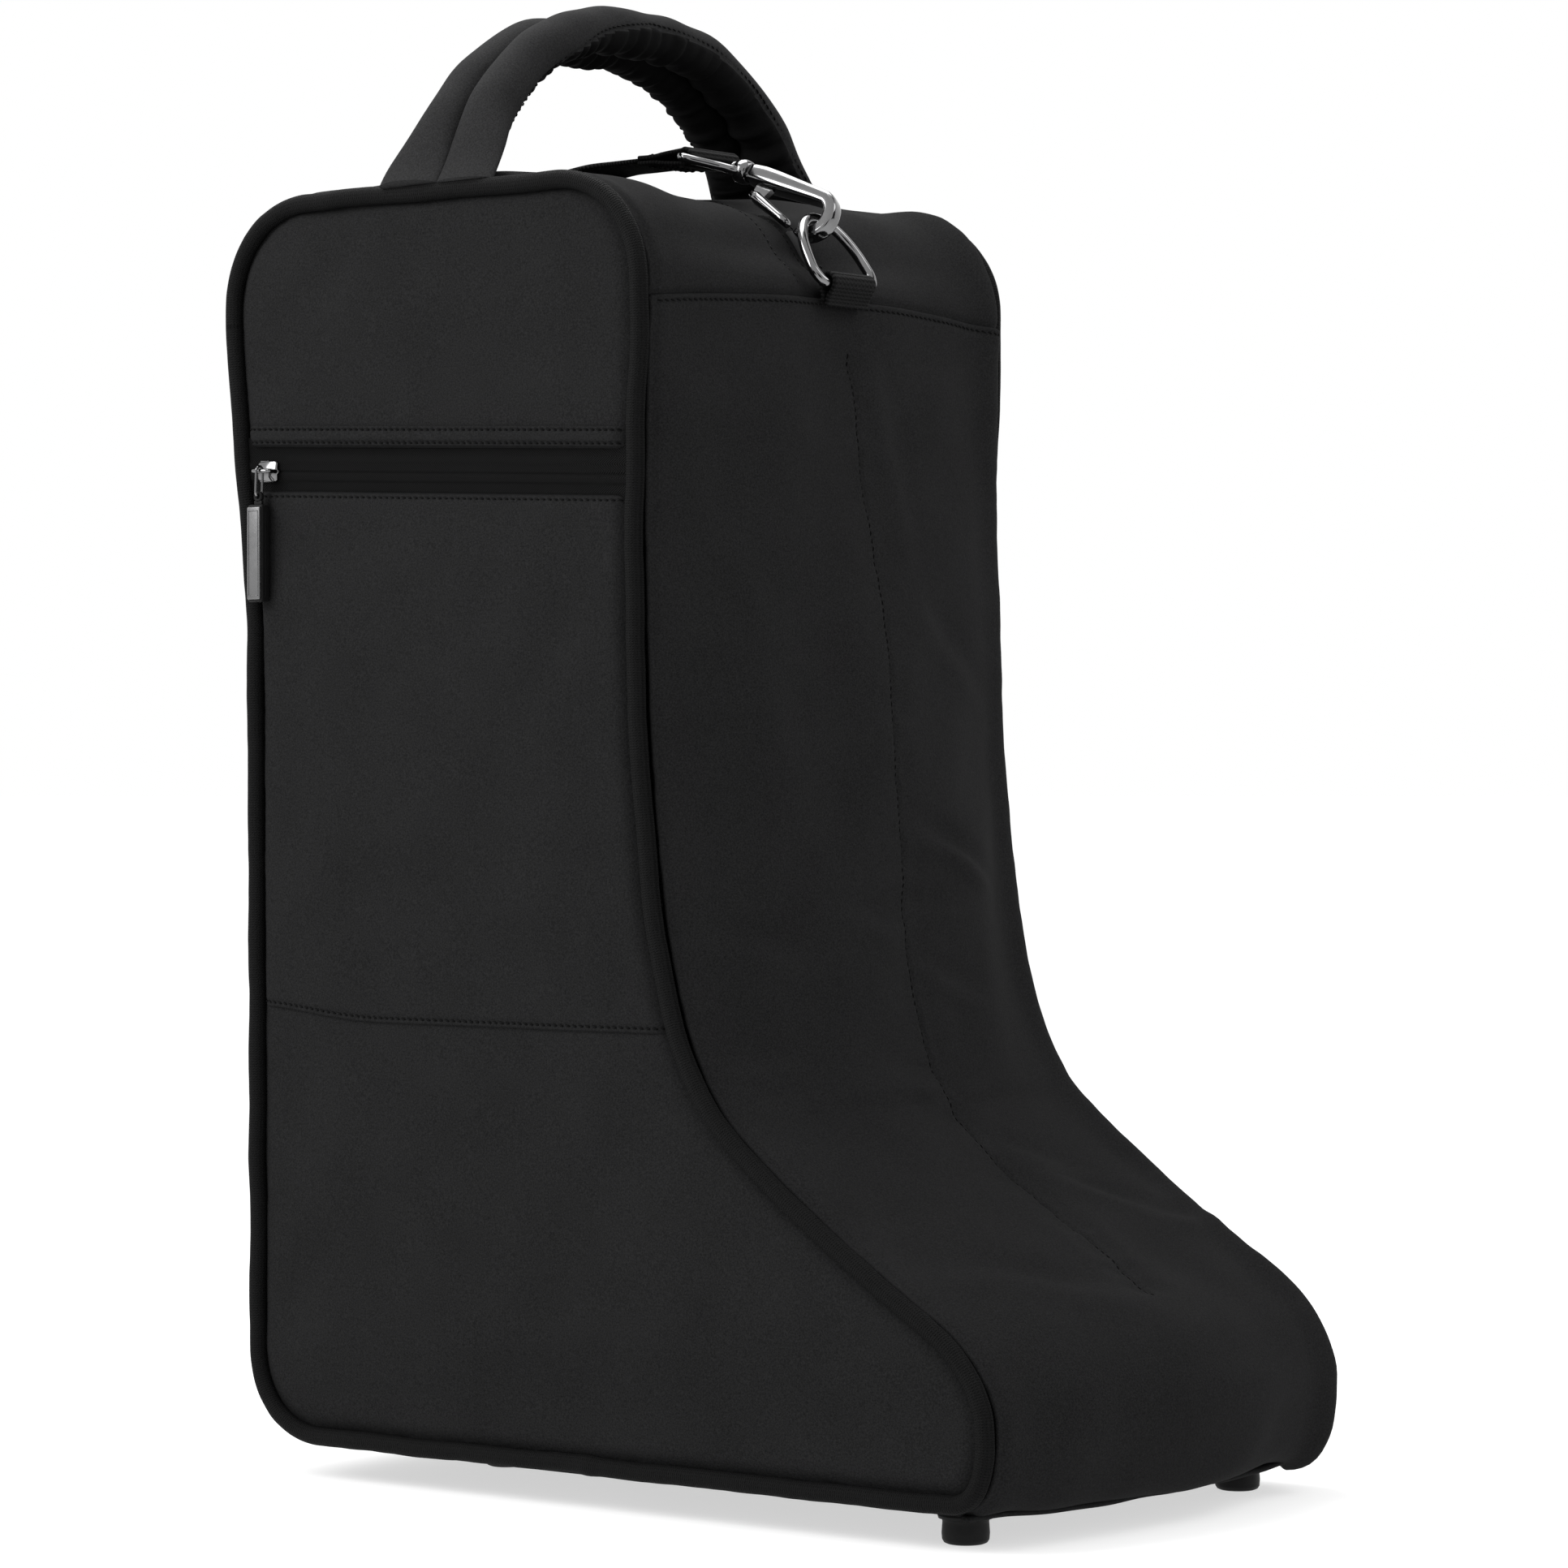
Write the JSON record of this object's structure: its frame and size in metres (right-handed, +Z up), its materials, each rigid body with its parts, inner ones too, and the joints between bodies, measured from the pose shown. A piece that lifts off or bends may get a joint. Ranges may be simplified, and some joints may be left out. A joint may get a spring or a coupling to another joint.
{
  "type": "tall boot bag",
  "caption": "Boot-shaped travel bag that stands on rubber feet, with a padded carrying handle, a zipped side pocket, a rear zip opening and a detachable webbing shoulder strap on snap hooks.",
  "frame": {"origin": "on the ground, under the middle of the bag", "axes": "+X towards the toe, -Y towards the pocket side, +Z up"},
  "size_m": [0.4055, 0.2617, 0.5922],
  "materials": {
    "board": "dark stiffener board",
    "foot_rubber": "black rubber",
    "gunmetal": "polished dark nickel",
    "lining_fabric": "plain woven lining",
    "piping_weave": "ribbed woven binding over a cord",
    "pull_metal": "satin grey metal",
    "pull_rubber": "soft black rubber",
    "shell_fabric": "matt black softshell",
    "webbing": "ribbed webbing",
    "zip_coil": "moulded coil",
    "zip_tape": "woven zip tape"
  },
  "bodies": {
    "bag": {"base_board": "board", "base_panel": "shell_fabric", "divider": "lining_fabric", "far_handle_foot": "shell_fabric", "far_lining": "lining_fabric", "far_piping": "piping_weave", "far_side_panel": "shell_fabric", "front_chape": "webbing", "front_far_foot": "foot_rubber", "front_gusset": "shell_fabric", "front_near_foot": "foot_rubber", "front_strap_fold": "webbing", "front_swivel_eye": "gunmetal", "near_handle_foot": "shell_fabric", "near_lining": "lining_fabric", "near_lower_panel": "shell_fabric", "near_piping": "piping_weave", "near_upper_panel": "shell_fabric", "pocket_coil_lower": "zip_coil", "pocket_coil_upper": "zip_coil", "pocket_front": "shell_fabric", "pocket_welt_strip": "shell_fabric", "pocket_zip_tape_lower": "zip_tape", "pocket_zip_tape_upper": "zip_tape", "rear_chape": "webbing", "rear_far_foot": "foot_rubber", "rear_lower_panel": "shell_fabric", "rear_near_foot": "foot_rubber", "rear_strap_fold": "webbing", "rear_swivel_eye": "gunmetal", "strap_webbing": "webbing", "top_gusset": "shell_fabric", "top_reinforcement": "webbing"},
    "near_door": {"near_rear_door": "shell_fabric", "near_main_tape": "zip_tape", "near_main_coil": "zip_coil"},
    "far_door": {"far_rear_door": "shell_fabric", "far_main_tape": "zip_tape", "far_main_coil": "zip_coil"},
    "handle": {"handle_rear_roll": "shell_fabric", "handle_front_roll": "shell_fabric"},
    "front_ring": {"front_d_ring": "gunmetal"},
    "rear_ring": {"rear_d_ring": "gunmetal"},
    "front_hook": {"front_hook_body": "gunmetal", "front_gate_pin": "gunmetal"},
    "front_gate": {"front_hook_gate": "gunmetal"},
    "rear_hook": {"rear_hook_body": "gunmetal", "rear_gate_pin": "gunmetal"},
    "rear_gate": {"rear_hook_gate": "gunmetal"},
    "pocket_slider": {"pocket_slider": "gunmetal"},
    "pocket_link": {"pocket_pull_link": "gunmetal"},
    "pocket_puller": {"pocket_puller_body": "pull_rubber", "pocket_puller_plate": "pull_metal"},
    "main_slider": {"main_slider": "gunmetal"},
    "main_link": {"main_pull_link": "gunmetal"},
    "main_puller": {"main_puller_body": "pull_rubber", "main_puller_plate": "pull_metal"},
    "strap_adjuster": {"strap_slide_adjuster": "gunmetal"}
  },
  "joints": [
    {"name": "pocket_slider_slide", "type": "slide", "parent": "bag", "child": "pocket_slider", "axis": [0.9992, 0, -0.04], "range_m": [0, 0.17]},
    {"name": "pocket_link_lift", "type": "hinge", "parent": "pocket_slider", "child": "pocket_link", "pos_m": [-0.1725, -0.1202, 0.4022], "axis": [-0.9992, 0, 0.04], "range_deg": [0, 100]},
    {"name": "pocket_puller_swing", "type": "hinge", "parent": "pocket_link", "child": "pocket_puller", "pos_m": [-0.17291, -0.1202, 0.39191], "axis": [0, -1, 0], "range_deg": [-60, 60]},
    {"name": "main_slider_slide", "type": "slide", "parent": "bag", "child": "main_slider", "axis": [-0.0383, 0, 0.9993], "range_m": [0, 0.345]},
    {"name": "main_link_lift", "type": "hinge", "parent": "main_slider", "child": "main_link", "pos_m": [-0.19076, 0, 0.09833], "axis": [0, 1, 0], "range_deg": [0, 95]},
    {"name": "main_puller_swing", "type": "hinge", "parent": "main_link", "child": "main_puller", "pos_m": [-0.19344, 0, 0.08256], "axis": [0, 1, 0], "range_deg": [0, 70]},
    {"name": "near_door_swing", "type": "hinge", "parent": "bag", "child": "near_door", "pos_m": [-0.184, -0.1085, 0.11], "axis": [-0.0369, 0, 0.9993], "range_deg": [0, 95]},
    {"name": "far_door_swing", "type": "hinge", "parent": "bag", "child": "far_door", "pos_m": [-0.184, 0.1085, 0.11], "axis": [0.0369, 0, -0.9993], "range_deg": [0, 95]},
    {"name": "handle_tilt", "type": "hinge", "parent": "bag", "child": "handle", "pos_m": [-0.088, 0, 0.5285], "axis": [-0.0593, 0.9982, 0], "range_deg": [-60, 60]},
    {"name": "front_ring_play", "type": "hinge", "parent": "bag", "child": "front_ring", "pos_m": [0.032, 0, 0.474], "axis": [0, 1, 0], "range_deg": [-1, 2]},
    {"name": "rear_ring_play", "type": "hinge", "parent": "bag", "child": "rear_ring", "pos_m": [-0.162, 0.1268, 0.5065], "axis": [1, 0, 0], "range_deg": [-0.8, 1.5]},
    {"name": "front_hook_swivel", "type": "hinge", "parent": "bag", "child": "front_hook", "pos_m": [-0.04258, 0.00475, 0.52861], "axis": [0.9483, 0, -0.3173], "range_deg": [-1, 2]},
    {"name": "front_gate_press", "type": "hinge", "parent": "front_hook", "child": "front_gate", "pos_m": [-0.01334, 0.00015, 0.51042], "axis": [0.1587, -0.866, 0.4742], "range_deg": [0, 20], "stiffness_Nm_per_rad": 0.02, "springref_deg": -20.05},
    {"name": "rear_hook_swivel", "type": "hinge", "parent": "bag", "child": "rear_hook", "pos_m": [-0.16811, 0.12022, 0.4109], "axis": [0, 0, 1], "range_deg": [-1, 3]},
    {"name": "rear_gate_press", "type": "hinge", "parent": "rear_hook", "child": "rear_gate", "pos_m": [-0.16219, 0.12727, 0.4444], "axis": [0.766, -0.6428, 0], "range_deg": [0, 20], "stiffness_Nm_per_rad": 0.02, "springref_deg": -20.05},
    {"name": "strap_adjuster_slide", "type": "slide", "parent": "bag", "child": "strap_adjuster", "axis": [-0.1353, -0.0412, 0.99], "range_m": [-0.02, 0.012]}
  ]
}
